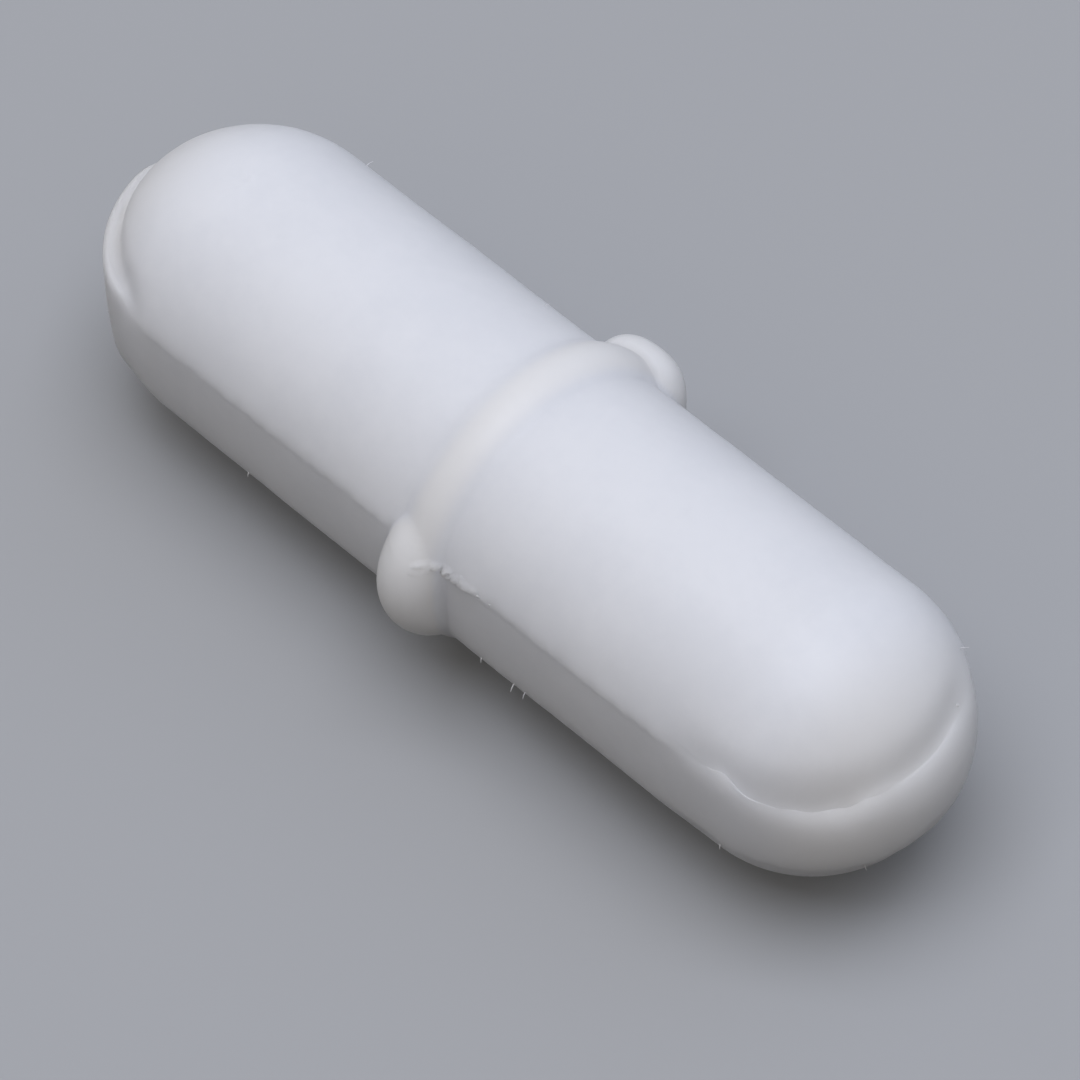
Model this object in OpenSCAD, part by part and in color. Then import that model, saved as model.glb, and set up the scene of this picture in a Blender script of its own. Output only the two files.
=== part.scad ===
// Magnetic stir bar with a pivot ring: a rod magnet moulded into a white fluoropolymer jacket.
// The jacket is pressed in a die with straight walls, between two rounded punches. The die shapes
// the band round its sides and the two lugs, and each punch shapes half of the rounded body and
// of the ring. A thin fin stays along the edge where each punch met the die.
// X runs along the bar, Z is up, and Z = 0 is the surface that the pivot ring stands on.

/* [Bar] */
// Length over the ends
bar_len = 29.4; // [27:0.1:60]
// Diameter of the rounded body
body_d = 8.56; // [8:0.02:12]
// Depth of the flat that the die wall leaves on each side of the body
flat_depth = 0.28; // [0.16:0.02:0.6]
// How far each end of the rounded body stays inside the die wall
end_step = 0.2; // [0.06:0.02:0.5]

/* [Pivot ring] */
// Distance of the ring from the middle of the bar
ring_x = 0.1; // [-3:0.05:3]
// How far the ring stands out of the rounded body
ring_rise = 0.25; // [0.12:0.01:0.6]
// Radius of the ring's crest, seen in section
ring_tip_r = 1.2; // [0.8:0.05:2]
// Radius of the fillet along each side of the ring
ring_foot_r = 1.2; // [0.4:0.05:1.4]

/* [Lugs] */
// How far each lug stands out of the side band
lug_rise = 1.2; // [0.8:0.05:1.8]
// Radius of a lug's outline, seen along the bar
lug_r = 2.6; // [2.2:0.05:2.8]
// Distance between the two lugs along the bar
lug_stagger = 0.2; // [0:0.05:1.5]
// Radius of the front lug's rounded rim
front_rim_r = 0.95; // [0.7:0.05:1.5]
// Height of the front lug's middle above the bar's axis
front_lug_z = 0; // [-0.4:0.05:0.8]
// Radius of the back lug's rounded rim
back_rim_r = 1.25; // [0.7:0.05:1.5]
// Height of the back lug's middle above the bar's axis
back_lug_z = 0.5; // [-0.4:0.05:0.8]

/* [Trim fin] */
// Height of the fin above the band
fin_h = 0.14; // [0.06:0.02:0.3]
// Thickness of the fin
fin_t = 0.1; // [0.06:0.01:0.2]

/* [Magnet] */
// Diameter of the rod magnet
magnet_d = 5; // [3:0.1:6]
// Length of the rod magnet
magnet_len = 24; // [10:0.5:25]
// Chamfer round each end of the magnet
magnet_chamfer = 0.4; // [0.1:0.05:1]
// Clearance between the magnet and the pocket that is moulded round it
magnet_fit = 0.02; // [0.01:0.01:0.1]

/* [Hidden] */
$fn = 96;
body_r = body_d / 2;
// Width across the two flats, and of the die's opening
flat_w = body_d - 2 * flat_depth;
// The flats meet the rounded body this far above and below the axis
band_h = 2 * sqrt(pow(body_r, 2) - pow(flat_w / 2, 2));
// Centre of the round end of the die's opening, and of the ball at the end of the body
die_end_x = (bar_len - flat_w) / 2;
ball_x = die_end_x - end_step;
ring_r = body_r + ring_rise;
// A lug is a thick disc on edge, whose middle lies this far from the bar's axis
lug_y = flat_w / 2 + lug_rise - lug_r;

// Opening of the die seen from above, or the same shape drawn inset inside its walls
module die_opening(inset = 0) {
    for (side = [-1, 1])
        translate([side * die_end_x, 0]) circle(d = flat_w - 2 * inset);
    square([2 * die_end_x, flat_w - 2 * inset], center = true);
}

// Section of the ring: a round crest with a fillet down to the body on each side
module ring_section() {
    tip_y = ring_r - ring_tip_r;
    foot_y = body_r + ring_foot_r;
    foot_x = sqrt(pow(ring_tip_r + ring_foot_r, 2) - pow(foot_y - tip_y, 2));
    translate([0, tip_y]) circle(r = ring_tip_r);
    difference() {
        polygon([
            [-foot_x, body_r - ring_tip_r],
            [-foot_x, foot_y],
            [0, tip_y],
            [foot_x, foot_y],
            [foot_x, body_r - ring_tip_r]
        ]);
        for (side = [-1, 1])
            translate([side * foot_x, foot_y]) circle(r = ring_foot_r);
    }
}

// Half section of the rounded body, with the bar's axis along Y
module body_section() {
    intersection() {
        union() {
            for (side = [-1, 1])
                translate([0, side * ball_x]) circle(r = body_r);
            square([2 * body_r, 2 * ball_x], center = true);
        }
        translate([0, -bar_len / 2]) square([body_r, bar_len]);
    }
}

// What the two punches shape: the rounded body and its ring
module punched_form() {
    rotate([0, 90, 0]) rotate_extrude() {
        body_section();
        translate([0, ring_x]) rotate(-90) ring_section();
    }
}

// Crest of the ring by itself, which runs on across the two flats
module ring_crest() {
    translate([ring_x, 0, 0]) rotate([0, 90, 0]) rotate_extrude()
        translate([ring_r - ring_tip_r, 0]) circle(r = ring_tip_r);
}

// Disc with a round rim, lying along the bar
module lug_disc(rim_r) {
    core_r = lug_r - rim_r;
    rotate([0, 90, 0]) rotate_extrude() {
        translate([core_r, 0]) intersection() {
            circle(r = rim_r);
            translate([0, -rim_r]) square([rim_r, 2 * rim_r]);
        }
        translate([0, -rim_r]) square([core_r, 2 * rim_r]);
    }
}

module lugs() {
    translate([-lug_stagger / 2, -lug_y, front_lug_z]) lug_disc(front_rim_r);
    translate([lug_stagger / 2, lug_y, back_lug_z]) lug_disc(back_rim_r);
}

// Fins along both edges of the band
module trim_fins() {
    linear_extrude(band_h + 2 * fin_h, center = true) difference() {
        die_opening();
        die_opening(fin_t);
    }
}

// Rod magnet, grown by the room that its pocket needs
module magnet_form(room = 0) {
    half_len = magnet_len / 2 + room;
    radius = magnet_d / 2 + room;
    rotate([0, 90, 0]) rotate_extrude() polygon([
        [0, -half_len],
        [radius - magnet_chamfer, -half_len],
        [radius, -half_len + magnet_chamfer],
        [radius, half_len - magnet_chamfer],
        [radius - magnet_chamfer, half_len],
        [0, half_len]
    ]);
}

module jacket() {
    color("white") translate([0, 0, ring_r]) difference() {
        union() {
            intersection() {
                linear_extrude(2 * ring_r, center = true) die_opening();
                punched_form();
            }
            linear_extrude(band_h, center = true) die_opening();
            ring_crest();
            trim_fins();
            lugs();
        }
        magnet_form(magnet_fit);
    }
}

module magnet() {
    color("dimgray") translate([0, 0, ring_r]) magnet_form();
}

jacket();
magnet();
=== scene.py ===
import math

import bpy
from mathutils import Matrix, Vector


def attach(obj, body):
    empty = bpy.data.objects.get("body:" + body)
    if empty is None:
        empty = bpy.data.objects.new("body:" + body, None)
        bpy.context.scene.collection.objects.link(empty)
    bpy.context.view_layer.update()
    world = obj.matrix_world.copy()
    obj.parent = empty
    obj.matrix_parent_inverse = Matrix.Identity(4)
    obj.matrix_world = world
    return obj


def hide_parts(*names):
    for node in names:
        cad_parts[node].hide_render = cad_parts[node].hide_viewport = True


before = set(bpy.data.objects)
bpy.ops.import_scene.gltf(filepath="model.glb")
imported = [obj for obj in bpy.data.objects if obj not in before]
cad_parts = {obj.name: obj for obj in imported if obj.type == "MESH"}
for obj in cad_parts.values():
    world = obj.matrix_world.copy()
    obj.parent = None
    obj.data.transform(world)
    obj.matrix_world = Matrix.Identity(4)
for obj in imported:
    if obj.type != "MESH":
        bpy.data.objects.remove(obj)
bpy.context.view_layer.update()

mm = 0.001
axisHeight = 4.53       # mm, of the bar's axis over the surface that the ring stands on
scene = bpy.context.scene
scene.view_settings.view_transform = "Standard"


class Field:
    # one number in a node tree, so that a shape can be written as a formula
    def __init__(self, tree, socket):
        self.tree, self.socket = tree, socket

    def math(self, operation, *others):
        node = self.tree.nodes.new("ShaderNodeMath")
        node.operation = operation
        for slot, value in zip(node.inputs, (self, *others)):
            plug(self.tree, slot, value)
        return Field(self.tree, node.outputs[0])

    def __add__(self, other): return self.math("ADD", other)
    def __radd__(self, other): return self.math("ADD", other)
    def __sub__(self, other): return self.math("SUBTRACT", other)
    def __rsub__(self, other): return -self + other
    def __mul__(self, other): return self.math("MULTIPLY", other)
    def __truediv__(self, other): return self.math("DIVIDE", other)
    def __rtruediv__(self, other): return self ** -1 * other
    def __pow__(self, other): return self.math("POWER", other)
    def __neg__(self): return self * -1
    def __abs__(self): return self.math("ABSOLUTE")
    def least(self, other): return self.math("MINIMUM", other)
    def most(self, other): return self.math("MAXIMUM", other)
    def root(self): return self.most(0).math("SQRT")
    def square(self): return self * self
    def sin(self): return self.math("SINE")
    def cos(self): return self.math("COSINE")
    def above(self, other): return self.math("GREATER_THAN", other)
    def softMost(self, other, reach): return self.math("SMOOTH_MAX", other, reach)
    def softLeast(self, other, reach): return self.math("SMOOTH_MIN", other, reach)

    def ramp(self, low, high, bottom=0.0, top=1.0, shape="SMOOTHSTEP"):
        node = self.tree.nodes.new("ShaderNodeMapRange")
        node.interpolation_type = shape
        for slot, value in zip(node.inputs, (self, low, high, bottom, top)):
            plug(self.tree, slot, value)
        return Field(self.tree, node.outputs[0])

    def fade(self, low, high):
        return self.ramp(low, high, 1, 0)

    def vary(self, bottom, top, blend=0.15):
        # spreads a noise between bottom and top, more sharply where blend is small
        return self.ramp(0.5 - blend, 0.5 + blend, bottom, top)

    def pick(self, off, on):
        # off where this mask is 0, on where it is 1
        return self.ramp(0, 1, off, on, "LINEAR")


def plug(tree, slot, value):
    if isinstance(value, Field):
        tree.links.new(value.socket, slot)
    elif isinstance(value, bpy.types.NodeSocket):
        tree.links.new(value, slot)
    else:
        slot.default_value = value


def socketLabel(name):
    # radiusTop is the socket that is labelled Radius Top
    return "".join(" " + letter if letter.isupper() else letter for letter in name).title()


def addNode(tree, kind, settings=None, **inputs):
    node = tree.nodes.new(kind)
    for name, value in (settings or {}).items():
        setattr(node, name, value)
    for name, value in inputs.items():
        plug(tree, node.inputs[socketLabel(name)], value)
    return node


def vector(tree, x, y, z):
    node = tree.nodes.new("ShaderNodeCombineXYZ")
    for slot, value in zip(node.inputs, (x, y, z)):
        plug(tree, slot, value)
    return node.outputs[0]


def split(tree, socket):
    node = tree.nodes.new("ShaderNodeSeparateXYZ")
    plug(tree, node.inputs[0], socket)
    return [Field(tree, output) for output in node.outputs]


def position(tree):
    return tree.nodes.new("GeometryNodeInputPosition").outputs[0]


def noise(tree, place, scale, detail=2.0, roughness=0.5):
    node = tree.nodes.new("ShaderNodeTexNoise")
    plug(tree, node.inputs["Vector"], place)
    plug(tree, node.inputs["Scale"], scale)
    node.inputs["Detail"].default_value = detail
    node.inputs["Roughness"].default_value = roughness
    return Field(tree, node.outputs[0])


def newShapeTree(name, values, start=None):
    # a geometry tree with a named input for what it starts from and one for each single number in values
    tree = bpy.data.node_groups.new(name, "GeometryNodeTree")
    tree.interface.new_socket("Geometry", in_out="OUTPUT", socket_type="NodeSocketGeometry")
    if start:
        tree.interface.new_socket(start, in_out="INPUT", socket_type="NodeSocketGeometry")
    single = {label: value for label, value in values.items() if isinstance(value, (int, float))}
    for label, value in single.items():
        kind = "NodeSocketInt" if isinstance(value, int) else "NodeSocketFloat"
        tree.interface.new_socket(label, in_out="INPUT", socket_type=kind).default_value = value
    entry = tree.nodes.new("NodeGroupInput")
    return tree, {**values, **{label: Field(tree, entry.outputs[label]) for label in single}}


def endShapeTree(tree, geometry, material):
    # to metres and up to the bar's axis, then plain mesh with its finish
    placed = addNode(tree, "GeometryNodeTransform", geometry=geometry, scale=(mm, mm, mm),
                     translation=(0, 0, axisHeight * mm))
    whole = addNode(tree, "GeometryNodeRealizeInstances", geometry=placed.outputs[0])
    smooth = addNode(tree, "GeometryNodeSetShadeSmooth", geometry=whole.outputs[0])
    painted = addNode(tree, "GeometryNodeSetMaterial", geometry=smooth.outputs[0], material=material)
    out = tree.nodes.new("NodeGroupOutput")
    tree.links.new(painted.outputs[0], out.inputs["Geometry"])


def grow(name, tree, values, places=()):
    # runs a tree once, from the places and sizes given, and keeps its result as a plain mesh
    carrier = bpy.data.objects.new(name + "_tree", bpy.data.meshes.new(name + "_tree"))
    carrier.data.from_pydata([place[:3] for place in places], [], [])
    sizes = carrier.data.attributes.new("placeSize", "FLOAT", "POINT")
    sizes.data.foreach_set("value", [place[3] for place in places])
    scene.collection.objects.link(carrier)
    modifier = carrier.modifiers.new("shape", "NODES")
    modifier.node_group = tree
    for item in tree.interface.items_tree:
        if item.in_out == "INPUT" and item.name in values:
            modifier[item.identifier] = values[item.name]
    shown = carrier.evaluated_get(bpy.context.evaluated_depsgraph_get())
    mesh = bpy.data.meshes.new_from_object(shown)
    mesh.name = name
    bpy.data.objects.remove(carrier)
    piece = bpy.data.objects.new(name, mesh)
    scene.collection.objects.link(piece)
    return piece


def newGroup(name, inputs, outputs):
    tree = bpy.data.node_groups.new(name, "ShaderNodeTree")
    for label, (kind, value) in inputs.items():
        socket = tree.interface.new_socket(label, in_out="INPUT", socket_type=kind)
        if value is not None:
            socket.default_value = value
    for label, kind in outputs.items():
        tree.interface.new_socket(label, in_out="OUTPUT", socket_type=kind)
    entry, out = tree.nodes.new("NodeGroupInput"), tree.nodes.new("NodeGroupOutput")
    return tree, {label: Field(tree, entry.outputs[label]) for label in inputs}, out


def makeCloudGroup():
    # slow cloudy change with finer mottle in it, about 0 to 1
    tree, given, out = newGroup(
        "cloud",
        {"Place": ("NodeSocketVector", None), "Cloud Size": ("NodeSocketFloat", 0.004),
         "Mottle Size": ("NodeSocketFloat", 0.0006), "Mottle Share": ("NodeSocketFloat", 0.3)},
        {"Mask": "NodeSocketFloat"})
    slow = noise(tree, given["Place"], 1 / given["Cloud Size"].most(1e-5), 2, 0.5)
    fine = noise(tree, given["Place"], 1 / given["Mottle Size"].most(1e-5), 3, 0.6)
    share = given["Mottle Share"]
    tree.links.new((slow * (1 - share) + fine * share).socket, out.inputs["Mask"])
    return tree


def makeGrainGroup():
    # fine skin: grain, shallow dimples and a few drag lines along X
    tree, given, out = newGroup(
        "skinGrain",
        {"Place": ("NodeSocketVector", None), "Grain Size": ("NodeSocketFloat", 0.00012),
         "Wave Size": ("NodeSocketFloat", 0.0016), "Drag": ("NodeSocketFloat", 0.2)},
        {"Height": "NodeSocketFloat"})
    grain = noise(tree, given["Place"], 1 / given["Grain Size"].most(1e-6), 2, 0.6)
    wave = noise(tree, given["Place"], 1 / given["Wave Size"].most(1e-6), 1, 0.4)
    stretched = addNode(tree, "ShaderNodeVectorMath", {"operation": "MULTIPLY"})
    plug(tree, stretched.inputs[0], given["Place"])
    stretched.inputs[1].default_value = (0.06, 1, 1)        # lines are about 16 times as long as wide
    lines = noise(tree, stretched.outputs[0], 1 / (given["Grain Size"] * 2).most(1e-6), 2, 0.7)
    total = grain * 0.2 + wave + lines * given["Drag"]
    tree.links.new(total.socket, out.inputs["Height"])
    return tree


cloudGroup = makeCloudGroup()
grainGroup = makeGrainGroup()


def placeGroup(tree, group, **inputs):
    return Field(tree, addNode(tree, "ShaderNodeGroup", {"node_tree": group}, **inputs).outputs[0])


def newMaterial(name):
    material = bpy.data.materials.new(name)
    material.use_nodes = True
    tree = material.node_tree
    shader = tree.nodes["Principled BSDF"]
    place = Field(tree, tree.nodes.new("ShaderNodeTexCoord").outputs["Object"])
    return material, tree, shader, place


def mixColour(tree, mask, dark, light):
    # dark and light are colours, or what another mix puts out
    node = addNode(tree, "ShaderNodeMix", {"data_type": "RGBA"})
    plug(tree, node.inputs["Factor"], mask)
    for slot, colour in zip(node.inputs[6:8], (dark, light)):       # its two colour sockets
        plug(tree, slot, (*colour, 1) if isinstance(colour, tuple) else colour)
    return node.outputs[2]


def addGrain(tree, shader, place, values):
    grain = placeGroup(tree, grainGroup, place=place, grainSize=values["grain"] * mm,
                       waveSize=values["wave"] * mm, drag=values["drag"])
    bump = addNode(tree, "ShaderNodeBump", height=grain, distance=values["relief"] * mm)
    plug(tree, shader.inputs["Normal"], bump.outputs[0])


def makeCloud(tree, place, size, mottle, share):
    return placeGroup(tree, cloudGroup, place=place, cloudSize=size * mm, mottleSize=mottle * mm,
                      mottleShare=share)


waxValues = {
    "body": (0.865, 0.868, 0.885),      # over the magnet, with a painted cool tint that stands in for the cool light from above
    "bodyDark": (0.835, 0.84, 0.86),
    "thin": (0.885, 0.866, 0.838),      # lugs, ring and ends, past the magnet: warmer, without that painted cool tint
    "thinShare": 0.75,
    "magnetEnds": (11.4, 14.2),         # mm along the bar, from the body's colour to that of the ends
    "bodyEnds": (4.3, 4.55),            # mm from the axis, to that of the ring and the lugs
    "cloud": (3.5, 0.5, 0.35),          # mm, mm of the mottle in it, and its share
    "roughness": (0.37, 0.48),
    "roughCloud": (1.2, 0.2, 0.5),
    "refraction": 1.38,
    "depth": 1.5,                       # how far light spreads under the skin, mm
    "spread": 1.0,
    "relief": 0.006,                    # mm
    "grain": 0.11, "wave": 1.3, "drag": 0.12,
}


def makeWax():
    values = waxValues
    material, tree, shader, place = newMaterial("waxWhite")
    cloud = makeCloud(tree, place, *values["cloud"])
    # the body's colour holds a painted cool tint, that of the light from above, mottled
    body = mixColour(tree, cloud.vary(0, 1), values["bodyDark"], values["body"])
    # the painted cool tint of the light from above stays on the body over the magnet; past the magnet's
    # ends and out on the ring and lugs the colour is warmer
    x, y, z = split(tree, place)
    lift = z - axisHeight * mm
    fromAxis = (y.square() + lift.square()).root()
    pastEnd = abs(x).ramp(*(edge * mm for edge in values["magnetEnds"]))
    outward = fromAxis.ramp(*(edge * mm for edge in values["bodyEnds"]))
    thin = pastEnd.most(outward) * values["thinShare"]
    plug(tree, shader.inputs["Base Color"], mixColour(tree, thin, body, values["thin"]))
    rough = makeCloud(tree, place, *values["roughCloud"])
    plug(tree, shader.inputs["Roughness"], rough.vary(*values["roughness"], 0.2))
    shader.inputs["IOR"].default_value = values["refraction"]
    shader.inputs["Subsurface Weight"].default_value = values["spread"]
    shader.inputs["Subsurface Radius"].default_value = (1.0, 1.0, 1.0)
    shader.inputs["Subsurface Scale"].default_value = values["depth"] * mm
    addGrain(tree, shader, place, values)
    return material


def makeDry(name, values):
    # a plain clouded finish, for what light does not travel in
    material, tree, shader, place = newMaterial(name)
    cloud = makeCloud(tree, place, *values["cloud"])
    colour = mixColour(tree, cloud.vary(0, 1, values["blend"]), values["dark"], values["light"])
    plug(tree, shader.inputs["Base Color"], colour)
    plug(tree, shader.inputs["Roughness"], cloud.vary(*values["roughness"], 0.2))
    shader.inputs["Metallic"].default_value = values["metal"]
    addGrain(tree, shader, place, values)
    return material


# the jacket's plastic where it is torn thin: rougher
tornValues = {
    "light": (0.78, 0.77, 0.76), "dark": (0.7, 0.7, 0.71), "blend": 0.15, "cloud": (0.3, 0.05, 0.5),
    "roughness": (0.6, 0.75), "metal": 0.0, "relief": 0.004, "grain": 0.03, "wave": 0.1, "drag": 0.3,
}
# cast alloy, ground round
magnetValues = {
    "light": (0.36, 0.36, 0.37), "dark": (0.22, 0.22, 0.23), "blend": 0.2, "cloud": (2.5, 0.25, 0.5),
    "roughness": (0.3, 0.48), "metal": 1.0, "relief": 0.004, "grain": 0.05, "wave": 1.5, "drag": 1.2,
}

# in mm, but for stretches, shares, the squareness and counts
jacketValues = {
    "Die end": 10.7,            # middle of the round end of the side band
    "Ball end": 10.5,           # middle of the ball at the end of the body
    "Body radius": 4.28,
    "Half width": 4.0,          # across the flats
    "Ring place": 0.1,
    "Ring radius": 4.53,
    "Ring tip": 1.2,            # rounding of the crest
    "Ring stagger": 0.2,        # how far the lower half ring is set to the left
    "Ring foot": 0.36,          # softness of the foot on its left, and less on its right
    "Ring drop": 0.13,          # how far each half ring is centred past the middle plane
    "Ring shift": 0.075,        # how far it is centred towards the back
    "Front lug centre": 2.62,   # distance from the bar's axis
    "Back lug centre": 4.19,
    "Front lug radius": 2.56,   # half breadth of the outline, seen along the bar
    "Back lug radius": 1.06,
    "Back lug stretch": 1.3,    # how much taller than broad that outline is in its upper half
    "Back lug depth": 2.7,      # and in its lower half
    "Lug foot": 0.04,
    "Front lug place": -0.15,
    "Front lug rim": 0.96,
    "Front lug height": -0.04,
    "Front lug spread": 0.06,
    "Back lug place": -0.06,
    "Back lug rim": 1.53,
    "Back lug squareness": 2.4,     # of its outline seen from above, where 2 is round
    "Back lug height": 0.71,
    "Bead height": 0.045,       # ridge along the flush trim of the sides
    "Bead spread": 0.75,        # how far it fades out up the body
    "Bead edge": 0.3,           # and how soon it ends below
    "Edge soft": 0.15,          # how softly wall and body meet there
    "Fin thickness": 0.2,
    "Outer share": 0.85,        # share of the lip that is its rounded outer edge
    "Edge round": 0.46,
    "Trim step": 0.09,          # how far the body stands inside the wall next to the lips
    "Trim wander": 0.12,
    "Trim scallops": 0.32,
    "Crumple wave": 0.8,        # how far the trim goes up and down at the crumpled flash
    "Crumple height": 0.14,
    "Crumple lean": 0.25,
    "Corner dip": 0.4,          # how far the trim sinks at the right front corner
    "Left lip height": 0.12,
    "Left lip width": 0.24,
    "Least lip": 0.01,
    "Side bulge": 0.07,         # the side walls stand out this far at mid height
    "Tip bulge": 0.14,          # and this much further out round the tip of the right end
    "Side draw": 0.07,          # they are drawn in this far at the trim, next to the crumpled flash
    "Flush draw": -0.03,        # where it is flush
    "Lower flush draw": 0.03,   # the same in the lower half
    "Lip draw": -0.09,          # and under the left lip
    "Flush drop": 0.09,         # how far down the flush trim lies
    "Flush top": 0.3,           # height over it at which the dome's rows begin
    "Ledge lift": 0.02,
    "Lumps": 0.25,              # height of the torn lumps right of the front lug
    "Unevenness": 0.02,
    "Seed": 3.0,
    # what is left of each in the lower half
    "Lower crumple": 0.25, "Lower lip": 0.6, "Lower bead": 0.4, "Lower flush": 0.85,
    # changes per mm and detail of the noises along the trim
    "Slow noise": (0.45, 2), "Quick noise": (2.2, 1.5), "Ripple noise": (1.7, 1),
    # where things start and end: as shares of the way round an end, then in mm along the bar
    "Lip starts": (0.4, 0.52), "Lip ends": (0.86, 1.0),
    "Shoulder starts": (0.36, 0.44), "Shoulder ends": (0.62, 0.8),
    "Dip eases": (0.26, 0.44),
    "Dip starts": (10.7, 13.2), "Crumple starts": (8.6, 11.2), "Tip starts": (12, 14.2),
    "Lumps start": (0.25, 0.5), "Lumps end": (1.15, 2.7),
    "Trim meets lug": (1.2, 1.55), "Ring ends": (1.9, 2.1),             # mm from the ring's middle
    "Lumps below": (-0.26, 0.04), "Lumps above": (0.07, 0.16),          # mm from the trim line
    "End steps in": (-0.35, 0.3),
    "Side columns": 230, "End columns": 100, "Band rows": 9, "Fin rows": 20, "Dome rows": 36,
    "Softening": 12,
}
columnSpread = 1.3      # how far apart the columns are at the ring, where 2 is the same all along
quarter = math.pi / 2


def wrapGrid(tree, size):
    # a flat grid, and the place of each point in it: columns go round the bar, by way of the front
    # side, right end, back side and left end, and rows go up and down from the middle plane
    sideColumns, endColumns = size["Side columns"], size["End columns"]
    columns = (sideColumns + endColumns) * 2
    rowsUp = size["Band rows"] + size["Fin rows"] + size["Dome rows"]
    grid = addNode(tree, "GeometryNodeMeshGrid", sizeX=columns, sizeY=rowsUp * 2,
                   verticesX=columns + 1, verticesY=rowsUp * 2 + 1)
    x, y, _ = split(tree, position(tree))
    half = columns / 2
    column = (x + half).math("ROUND").math("FLOORED_MODULO", columns)
    isBack = column.above(half - 0.5)
    along = column - isBack * half
    share = along.least(sideColumns) / sideColumns - 0.5
    unitX = share * columnSpread + share * share * share * (8 - 4 * columnSpread)
    angle = (along - sideColumns).most(0) / endColumns * math.pi
    return grid.outputs["Mesh"], unitX, angle, isBack, y.math("ROUND")


def ringAndLugs(size, x, w, z, dirW, dirZ, isBack, upper, trimZ):
    # how far each point of the body is pushed out along its direction
    turn = 1 - isBack * 2

    def pushOut(middleW, middleZ, radius, stretch=1):
        # the way to a circle, or to an upright ellipse, and well below 0 where it is missed
        offW, offZ, stepZ = w - middleW, (z - middleZ) / stretch, dirZ / stretch
        pace = dirW.square() + stepZ.square()
        reach = offW * dirW + offZ * stepZ
        room = reach.square() - pace * (offW.square() + offZ.square() - radius.square())
        return (room.root() + room.least(0) * 8 - reach) / pace

    def lug(name):
        return isBack.pick(size["Front lug " + name], size["Back lug " + name])

    # each punch shaped its half of the ring, a little wide of the middle
    dx = x - size["Ring place"] + size["Ring stagger"] * z.fade(-trimZ, trimZ)
    tip, drop = size["Ring tip"], size["Ring drop"]
    ringR = size["Ring radius"] + drop - tip + (tip.square() - dx.square()).root()
    ringOut = pushOut(size["Ring shift"] * -turn, drop * -upper, ringR)
    footLeft, footRight, footOnFlat = 1, 0.45, 0.2
    foot = size["Ring foot"] * abs(z).ramp(trimZ, trimZ + 1.4, footOnFlat, 1)
    foot = foot * dx.ramp(-0.3, 0.3, footLeft, footRight)

    # below the trim the die let the front lug reach further to the right
    wider = (1 - isBack) * z.fade(trimZ - 0.06, trimZ + 0.03) * size["Front lug spread"]
    rim = lug("rim") + wider
    lugDx = abs(x - lug("place") - wider)
    square = isBack.pick(2, size["Back lug squareness"])
    narrowing = (rim ** square - lugDx ** square).most(0) ** (1 / square)
    lugR = (lug("radius") - rim + narrowing - (lugDx - rim).most(0) * 4).most(0)
    lugZ = lug("height")
    stretch = z.above(lugZ).pick(size["Back lug depth"], size["Back lug stretch"])
    lugOut = pushOut(lug("centre"), lugZ, lugR, isBack.pick(1, stretch))
    out = lugOut.softMost(ringOut.softMost(0, foot), size["Lug foot"])
    return out * abs(dx).fade(*size["Ring ends"])


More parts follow.
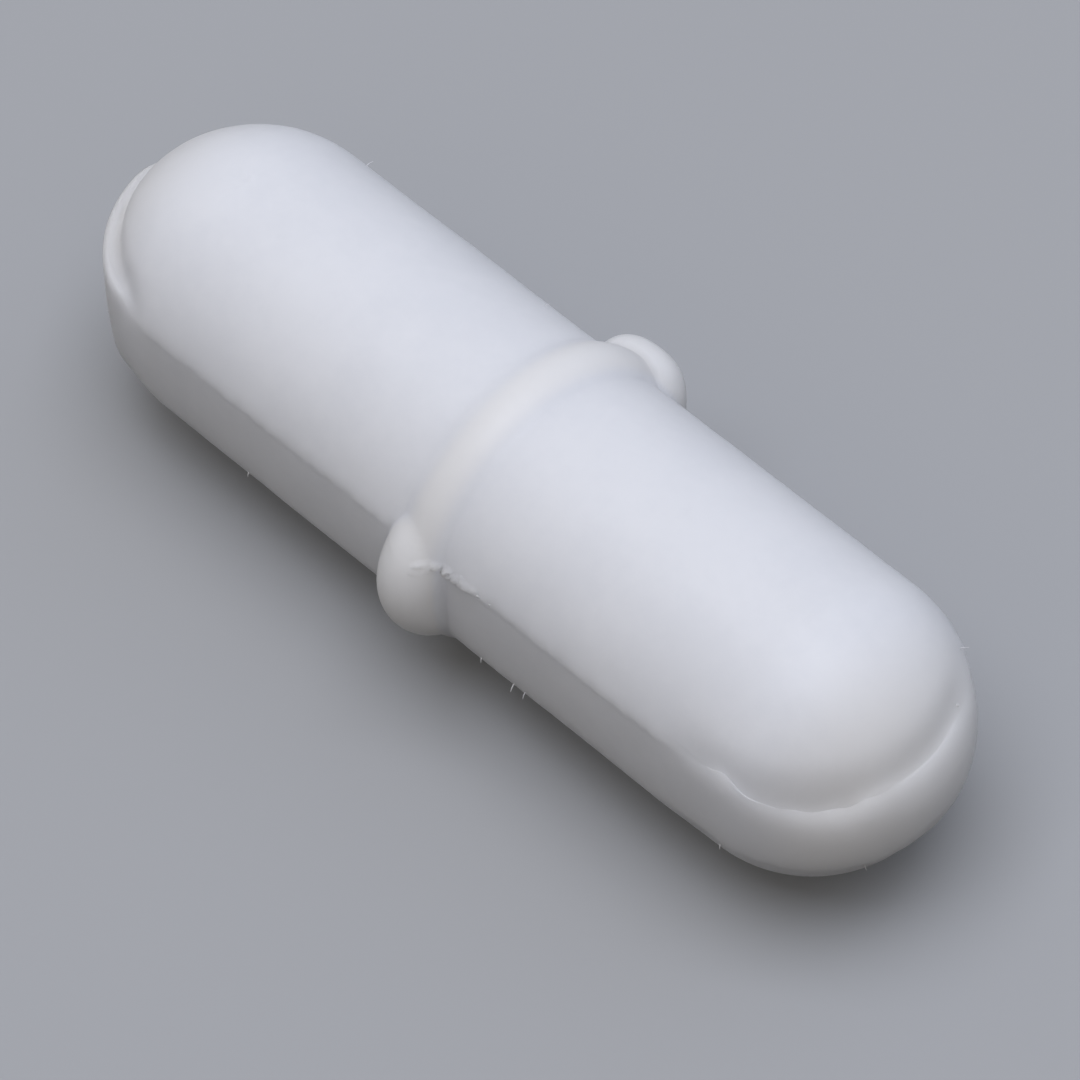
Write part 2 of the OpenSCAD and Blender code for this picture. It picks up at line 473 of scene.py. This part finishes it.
def makeJacketTree(material):
    tree, size = newShapeTree("jacketSkin", jacketValues)
    grid, unitX, angle, isBack, row = wrapGrid(tree, size)
    bandRows, finRows, domeRows = size["Band rows"], size["Fin rows"], size["Dome rows"]
    halfFin = finRows / 2
    turn, isFront = 1 - isBack * 2, 1 - isBack
    across, ahead, bend = angle.cos(), angle.sin(), angle / math.pi
    # up the section, the same above and below the middle
    upper, step = row.math("SIGN"), abs(row)
    isTop = upper.most(0)

    def dimmed(share):
        # this share in the lower half, all of it in the upper
        return upper.ramp(-1, 1, share, 1)

    bodyR, halfWidth = size["Body radius"], size["Half width"]
    trimZ = (bodyR.square() - halfWidth.square()).root()
    roughX = (unitX * size["Die end"] + ahead * halfWidth) * turn
    roughY = across * halfWidth * -turn
    edgePlace = vector(tree, roughX, roughY, upper * 7 + size["Seed"])     # the two halves far apart
    slow = noise(tree, edgePlace, *size["Slow noise"])
    quick = noise(tree, edgePlace, *size["Quick noise"])
    ripple = noise(tree, edgePlace, *size["Ripple noise"])

    # the trim line: a soft flush edge with a low bead along the sides, crumpled flash before the
    # right end, a rounded shoulder across that end, and a thick soft lip round the left end
    leftLip = isBack * bend.ramp(*size["Lip starts"]) * bend.fade(*size["Lip ends"])
    shoulder = isFront * bend.ramp(*size["Shoulder starts"]) * bend.fade(*size["Shoulder ends"])
    crumple = isFront * roughX.ramp(*size["Crumple starts"]) * bend.fade(*size["Shoulder starts"])
    flush = (1 - leftLip) * (1 - shoulder) * (1 - crumple)
    crumple = crumple * dimmed(size["Lower crumple"])
    clear = 1 - abs(roughX - size["Ring place"]).fade(*size["Trim meets lug"])
    trimLine = trimZ + ((slow - 0.5) * size["Trim wander"] + (quick - 0.5) * size["Trim scallops"]) * clear
    dip = isFront * isTop * roughX.ramp(*size["Dip starts"]) * bend.ramp(*size["Dip eases"], 1, 0.3)
    trimLine = trimLine - dip * size["Corner dip"] - flush * size["Flush drop"] * isTop
    trimLine = trimLine + crumple * (quick - 0.5) * size["Crumple wave"]
    draw = flush.pick(size["Side draw"], upper.ramp(-1, 1, size["Lower flush draw"], size["Flush draw"]))
    draw = (leftLip + shoulder * 0.7).pick(draw, size["Lip draw"])
    inset = size["Trim step"] + leftLip * size["Left lip width"] * slow.vary(0.6, 1)
    bulge = size["Side bulge"] + size["Tip bulge"] * roughX.ramp(*size["Tip starts"])
    wallW = halfWidth - draw
    softness = size["Edge soft"] * flush
    beadHeight = size["Bead height"] * ripple.vary(0.6, 1.3) * clear * flush * dimmed(size["Lower bead"])

    def wall(height):
        # the side walls, fullest at mid height
        part = (height / trimLine).square().least(1.12)
        return wallW + bulge * (1 - part) + draw * (1 - part * part * part)

    def pull(height):
        # the punched body stands a little inside the wall, next to the lips
        fading = height.fade(trimZ - 0.1, trimZ + 1.1)
        return fading * (size["Side draw"] + inset) * (1 - flush * dimmed(size["Lower flush"]))

    def bead(height):
        over = (1 - (height - trimLine).most(0) / size["Bead spread"]).most(0).square()
        return over * (height - trimLine).ramp(-size["Bead edge"], 0) * beadHeight

    def dome(height, width):
        return (width - pull(height)).softLeast(wall(height), softness) + bead(height)

    # heights and widths of the lips
    finH = size["Left lip height"] * slow.vary(0.75, 1.15) * leftLip
    finH = finH + crumple * ripple.vary(0, size["Crumple height"], 0.1)
    finH = finH * (1 - shoulder) * dimmed(size["Lower lip"]) + size["Least lip"]
    lag = (size["Die end"] - size["Ball end"]) * ahead          # room between the ball and the die wall
    finT = size["Fin thickness"] * quick.vary(0.8, 1.3, 0.2)
    finT = finT + (lag + inset) * leftLip * 0.3 + (lag + inset - finT) * shoulder
    finT = finT * (1 - crumple * 0.45)
    edge = size["Edge round"] * (1 + shoulder * 0.6 - crumple * 0.4 - leftLip * 0.3)
    footZ = (trimLine + size["Ledge lift"] * quick).least(trimLine + finH)
    footZ = flush.pick(footZ, trimLine + size["Flush top"])
    footW = (bodyR.square() - footZ.square()).root() - pull(footZ)
    lipWidth = wallW - (wallW - finT).most(footW - lag)
    lipOut = lipWidth * (size["Outer share"] * (1 - leftLip * 0.4))
    lipIn = lipWidth - lipOut
    lean = crumple * (ripple - 0.5) * size["Crumple lean"]

    # the lips: up the wall, out over a rounded edge, then down to the body
    stage = step - bandRows
    onFin, onInner, onDome = stage.above(0.5), stage.above(halfFin + 0.5), stage.above(finRows - 0.5)
    rise = (stage / halfFin).most(0).least(1) * quarter
    fall = ((stage - halfFin) / (halfFin - 1)).most(0).least(1) * quarter
    edgeZ = trimLine - edge
    wallZ = (step / bandRows).least(1) * edgeZ
    z = onFin.pick(wallZ, edgeZ + (finH + edge) * rise.sin())
    z = onInner.pick(z, footZ + (trimLine + finH - footZ) * fall.cos())
    w = wall(z.least(trimLine)) - onFin * (lipOut * (1 - rise.cos()) - lean * rise.sin())
    w = onInner.pick(w, wallW - lipOut - lipIn * fall.sin() + lean * fall.cos())
    # the flush edge, with its bead
    flushZ = onFin.pick(wallZ, edgeZ + (edge + size["Flush top"]) * (stage / finRows).most(0).least(1))
    z = flush.pick(z, flushZ)
    w = flush.pick(w, dome(flushZ, (bodyR.square() - flushZ.square()).root()))
    # the rounded body above
    footAngle = (footZ / bodyR).math("ARCSINE")
    domeShare = (stage - finRows).most(0) / domeRows
    theta = footAngle + (quarter - footAngle) * domeShare
    w = onDome.pick(w, dome(bodyR * theta.sin(), bodyR * theta.cos()))
    z = onDome.pick(z, bodyR * theta.sin())
    centre = (z - trimLine).ramp(*size["End steps in"], size["Die end"], size["Ball end"])
    centre = onDome.pick(flush.pick(size["Die end"], centre), size["Ball end"])

    # shallow unevenness, only inward; the way out is set before it
    trimAngle = (trimZ / bodyR).math("ARCSINE")
    tilt = ((z / bodyR).least(1).math("ARCSINE") - trimAngle).most(0) / (quarter - trimAngle) * quarter
    calmPlace = vector(tree, roughX, w * across * -turn, z * upper)
    swell = noise(tree, calmPlace, 0.35).vary(0, 1, 0.25) * size["Unevenness"]
    w = w - swell * (1 - domeShare)
    z = z - swell * domeShare

    # the ring and the lugs; the way out turns up sooner over the back lug, to spread points over its top
    tilt = tilt + isBack * isTop * z.ramp(trimZ - 0.6, trimZ + 0.1) * z.fade(2.2, 3.6) * 0.5
    dirW, dirZ = tilt.cos(), tilt.sin() * upper
    x = (unitX * centre + ahead * w) * turn
    z = z * upper
    out = ringAndLugs(size, x, w, z, dirW, dirZ, isBack, upper, trimZ)
    # torn lumps, on the near trim line only
    lumps = noise(tree, vector(tree, roughX, z, size["Seed"]), 4, 2.5, 0.6).ramp(0.4, 0.56)
    lumps = lumps * (z - trimLine).fade(*size["Lumps above"]) * (z - trimLine).ramp(*size["Lumps below"])
    lumps = lumps * isFront * roughX.ramp(*size["Lumps start"]) * roughX.fade(*size["Lumps end"])
    out = out + lumps * size["Lumps"]
    w = w + out * dirW
    z = z + out * dirZ
    x = (unitX * centre + ahead * w) * turn
    y = across * w * -turn

    # the lips are softened, the rest is left sharp
    softer = (leftLip * 0.7).most(shoulder * 0.7).most(crumple * 0.2)
    softer = softer * stage.ramp(-2, 1) * stage.fade(finRows + 1, finRows + 4)
    softened = addNode(tree, "GeometryNodeBlurAttribute", {"data_type": "FLOAT_VECTOR"},
                       iterations=size["Softening"], weight=softer)
    given = next(slot for slot in softened.inputs if slot.name == "Value" and slot.enabled)
    plug(tree, given, vector(tree, x, y, z))
    result = next(slot for slot in softened.outputs if slot.enabled)
    moved = addNode(tree, "GeometryNodeSetPosition", geometry=grid, position=result)
    closed = addNode(tree, "GeometryNodeMergeByDistance", geometry=moved.outputs[0], distance=0.0015)
    endShapeTree(tree, closed.outputs[0], material)
    return tree


waxWhite = makeWax()
skin = grow("jacket_skin", makeJacketTree(waxWhite), jacketValues)
print("jacket", len(skin.data.vertices), "points", len(skin.data.polygons), "faces")
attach(skin, "root")
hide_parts("jacket")

# torn flash: a few crumbs on the trim lines and short whiskers
scrapValues = {
    "Crumb size": 1.0, "Lumps": 5,      # that make up a crumb
    "Whisker length": 0.2, "Whisker radius": 0.022,
    "Seed": 4.0,
    # where each crumb lies next to the skin, in mm from the bar's axis, and its half width
    "Crumbs": [(2.3, -4.1, 1.48, 0.05), (2.7, -4.1, 1.46, 0.05), (13.89, 1.99, 1.57, 0.05)],
    # each place is a little outside the skin, where its whisker points to
    "Whiskers": [
        (14.33, -1.95, -1.8), (10.9, -4.15, -1.66), (3.75, -4.14, -1.62), (3.3, -4.14, -1.66),
        (2.1, -4.16, -1.62), (-6.95, -4.16, -1.68), (-13.7, -3.0, -1.3), (-13.6, -3.1, -2.2),
        (-2.6, 3.5, 2.8), (-10.2, 4.1, 1.8), (12.9, 3.6, 1.75), (5.2, 4.15, -1.7)],
}


def makeScrapTree(material):
    tree, size = newShapeTree("flashScraps", scrapValues, "Places")
    tree.interface.new_socket("Skin", in_out="INPUT", socket_type="NodeSocketObject")
    entry = next(node for node in tree.nodes if node.bl_idname == "NodeGroupInput")
    skinInfo = addNode(tree, "GeometryNodeObjectInfo", object=entry.outputs["Skin"])
    lowered = addNode(tree, "GeometryNodeTransform", geometry=skinInfo.outputs["Geometry"],
                      translation=(0, 0, -axisHeight * mm))
    target = addNode(tree, "GeometryNodeTransform", geometry=lowered.outputs[0],
                     scale=(1 / mm, 1 / mm, 1 / mm))

    def chance(salt, low, high):
        node = addNode(tree, "FunctionNodeRandomValue", {"data_type": "FLOAT"}, seed=size["Seed"] + salt)
        return Field(tree, node.outputs[1]) * (high - low) + low

    # every place is drawn to the nearest point of the skin
    nearest = addNode(tree, "GeometryNodeProximity", {"target_element": "FACES"}, target=target.outputs[0])
    named = addNode(tree, "GeometryNodeInputNamedAttribute", {"data_type": "FLOAT"}, name="placeSize")
    bulk = Field(tree, named.outputs[0])
    starts = addNode(tree, "GeometryNodeMeshToPoints", mesh=entry.outputs["Places"])
    sorts = addNode(tree, "GeometryNodeSeparateGeometry", {"domain": "POINT"}, geometry=starts.outputs[0],
                    selection=bulk.above(0))

    # crumbs: each is a few dented lumps side by side
    landed = addNode(tree, "GeometryNodeSetPosition", geometry=sorts.outputs[0],
                     position=nearest.outputs["Position"])
    several = addNode(tree, "GeometryNodeDuplicateElements", {"domain": "POINT"},
                      geometry=landed.outputs[0], amount=size["Lumps"])
    bulk = bulk * size["Crumb size"]
    aside = vector(tree, bulk * chance(1, -0.9, 0.9), bulk * chance(2, -0.4, 0.4),
                   bulk * chance(3, -0.2, 0.4))
    lumps = addNode(tree, "GeometryNodeSetPosition", geometry=several.outputs[0], offset=aside)
    ball = addNode(tree, "GeometryNodeMeshIcoSphere", subdivisions=3)
    girth = bulk * chance(4, 0.4, 0.7)
    crumbs = addNode(tree, "GeometryNodeInstanceOnPoints", points=lumps.outputs[0],
                     instance=ball.outputs[0],
                     rotation=vector(tree, chance(5, -0.3, 0.3), chance(6, 0, 6), chance(7, -0.3, 0.3)),
                     scale=vector(tree, girth * 1.3, girth * 0.6, girth * chance(8, 0.6, 1.0)))
    solid = addNode(tree, "GeometryNodeRealizeInstances", geometry=crumbs.outputs[0])
    dents = addNode(tree, "ShaderNodeVectorMath", {"operation": "SCALE"},
                    scale=(noise(tree, position(tree), 14, 2, 0.6) - 0.5) * 0.05)
    plug(tree, dents.inputs[0], tree.nodes.new("GeometryNodeInputNormal").outputs[0])
    torn = addNode(tree, "GeometryNodeSetPosition", geometry=solid.outputs[0], offset=dents.outputs[0])

    # whiskers, bent and tapered
    away = addNode(tree, "ShaderNodeVectorMath", {"operation": "SUBTRACT"})
    plug(tree, away.inputs[0], position(tree))
    plug(tree, away.inputs[1], nearest.outputs["Position"])
    aim = addNode(tree, "FunctionNodeAlignRotationToVector", {"axis": "Z"}, vector=away.outputs[0])
    held = addNode(tree, "GeometryNodeCaptureAttribute", geometry=sorts.outputs[1])
    held.capture_items.new("ROTATION", "Aim")
    plug(tree, held.inputs["Aim"], aim.outputs[0])
    rooted = addNode(tree, "GeometryNodeSetPosition", geometry=held.outputs[0],
                     position=nearest.outputs["Position"])
    spike = addNode(tree, "GeometryNodeMeshCone", vertices=7, sideSegments=5, radiusTop=0.25,
                    radiusBottom=1, depth=1)
    _, _, z = split(tree, position(tree))
    bowed = addNode(tree, "GeometryNodeSetPosition", geometry=spike.outputs[0],
                    offset=vector(tree, z.square() * 3, 0, -0.15))
    length = size["Whisker length"] * chance(9, 0.6, 1.4)
    radius = size["Whisker radius"] * chance(10, 0.7, 1.5)
    whiskers = addNode(tree, "GeometryNodeInstanceOnPoints", points=rooted.outputs[0],
                       instance=bowed.outputs[0], rotation=held.outputs["Aim"],
                       scale=vector(tree, radius, radius, length))
    both = tree.nodes.new("GeometryNodeJoinGeometry")
    for part in (torn, whiskers):
        tree.links.new(part.outputs[0], both.inputs[0])
    endShapeTree(tree, both.outputs[0], material)
    return tree


places = scrapValues["Crumbs"] + [(*place, 0) for place in scrapValues["Whiskers"]]
tornWhite = makeDry("tornWhite", tornValues)
scraps = grow("flash_scraps", makeScrapTree(tornWhite), {**scrapValues, "Skin": skin}, places)
print("torn flash", len(scraps.data.polygons), "faces")
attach(scraps, "root")

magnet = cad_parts["magnet"]
magnet.data.materials.clear()
magnet.data.materials.append(makeDry("groundMagnetAlloy", magnetValues))
print("finishes made")

floorValues = {
    "half": 3.0,                        # m
    "shown": (0.46, 0.465, 0.47),       # as the camera sees it
    "bounce": (0.06, 0.06, 0.062),      # as it lights the bar from below
    "roughness": 0.9, "gloss": 0.1,
}


def seenDirectly(tree):
    # 1 where the camera looks, straight or by way of gloss or glass
    rays = tree.nodes.new("ShaderNodeLightPath").outputs
    seen = Field(tree, rays["Is Camera Ray"]).most(Field(tree, rays["Is Glossy Ray"]))
    return seen.most(Field(tree, rays["Is Transmission Ray"]))


def makeFloor():
    half = floorValues["half"]
    mesh = bpy.data.meshes.new("floor")
    corners = [(-half, -half, 0), (half, -half, 0), (half, half, 0), (-half, half, 0)]
    mesh.from_pydata(corners, [], [(0, 1, 2, 3)])
    floor = bpy.data.objects.new("floor", mesh)
    scene.collection.objects.link(floor)
    material, tree, shader, _ = newMaterial("paleFloor")
    colour = mixColour(tree, seenDirectly(tree), floorValues["bounce"], floorValues["shown"])
    plug(tree, shader.inputs["Base Color"], colour)
    shader.inputs["Roughness"].default_value = floorValues["roughness"]
    shader.inputs["Specular IOR Level"].default_value = floorValues["gloss"]
    mesh.materials.append(material)


# sizes and places in m
lampValues = {
    "overhead": {"watts": 2.4, "size": (0.55, 0.5), "place": (0.02, -0.035, 0.6),
                 "colour": (0.85, 0.885, 1.0)},
    "back": {"watts": 0.65, "size": (0.8, 0.8), "place": (0.1, 0.5, 0.38), "colour": (0.5, 0.66, 1.0)},
    "front": {"watts": 0.12, "size": (0.4, 0.4), "place": (0.05, -0.5, 0.3), "colour": (1.0, 0.9, 0.8)},
}
roomValues = {"ambient": (0.288, 0.28, 0.272), "backdrop": (0.60, 0.605, 0.61)}


def makeLight():
    for name, values in lampValues.items():
        lamp = bpy.data.lights.new(name, "AREA")
        lamp.shape = "RECTANGLE"
        lamp.size, lamp.size_y = values["size"]
        lamp.energy, lamp.color = values["watts"], values["colour"]
        holder = bpy.data.objects.new(name, lamp)
        holder.location = values["place"]
        holder.rotation_euler = (-Vector(values["place"])).to_track_quat("-Z", "Y").to_euler()
        scene.collection.objects.link(holder)
    world = bpy.data.worlds.new("softRoom")
    world.use_nodes = True
    tree = world.node_tree
    colour = mixColour(tree, seenDirectly(tree), roomValues["ambient"], roomValues["backdrop"])
    plug(tree, tree.nodes["Background"].inputs["Color"], colour)
    scene.world = world


cameraValues = {
    "elevation": 53.058, "heading": -49.302, "roll": -4.786,       # degrees
    "distance": 223.196, "aimRight": 0.2748, "aimUp": -1.2697,     # mm
    "scale": 37.572,            # pixels per mm at the aim
    "pixels": 1080, "sensor": 36, "nearest": 0.01,
}


def makeCamera():
    values = cameraValues
    up, heading, roll = (math.radians(values[name]) for name in ("elevation", "heading", "roll"))
    ahead = Vector((math.sin(heading) * math.cos(up), math.cos(heading) * math.cos(up), -math.sin(up)))
    right = Vector((math.cos(heading), -math.sin(heading), 0))
    above = right.cross(ahead)
    right, above = (right * math.cos(roll) + above * math.sin(roll),
                    above * math.cos(roll) - right * math.sin(roll))
    aim = Vector((0, 0, axisHeight)) + right * values["aimRight"] + above * values["aimUp"]
    place = (aim - ahead * values["distance"]) * mm
    camera = bpy.data.objects.new("camera", bpy.data.cameras.new("camera"))
    camera.matrix_world = Matrix.Translation(place) @ Matrix((right, above, -ahead)).transposed().to_4x4()
    camera.data.sensor_width = values["sensor"]
    camera.data.lens = values["scale"] * values["distance"] / values["pixels"] * values["sensor"]
    camera.data.clip_start = values["nearest"]
    scene.collection.objects.link(camera)
    scene.camera = camera


makeFloor()
makeLight()
makeCamera()
print("floor, light and camera made")
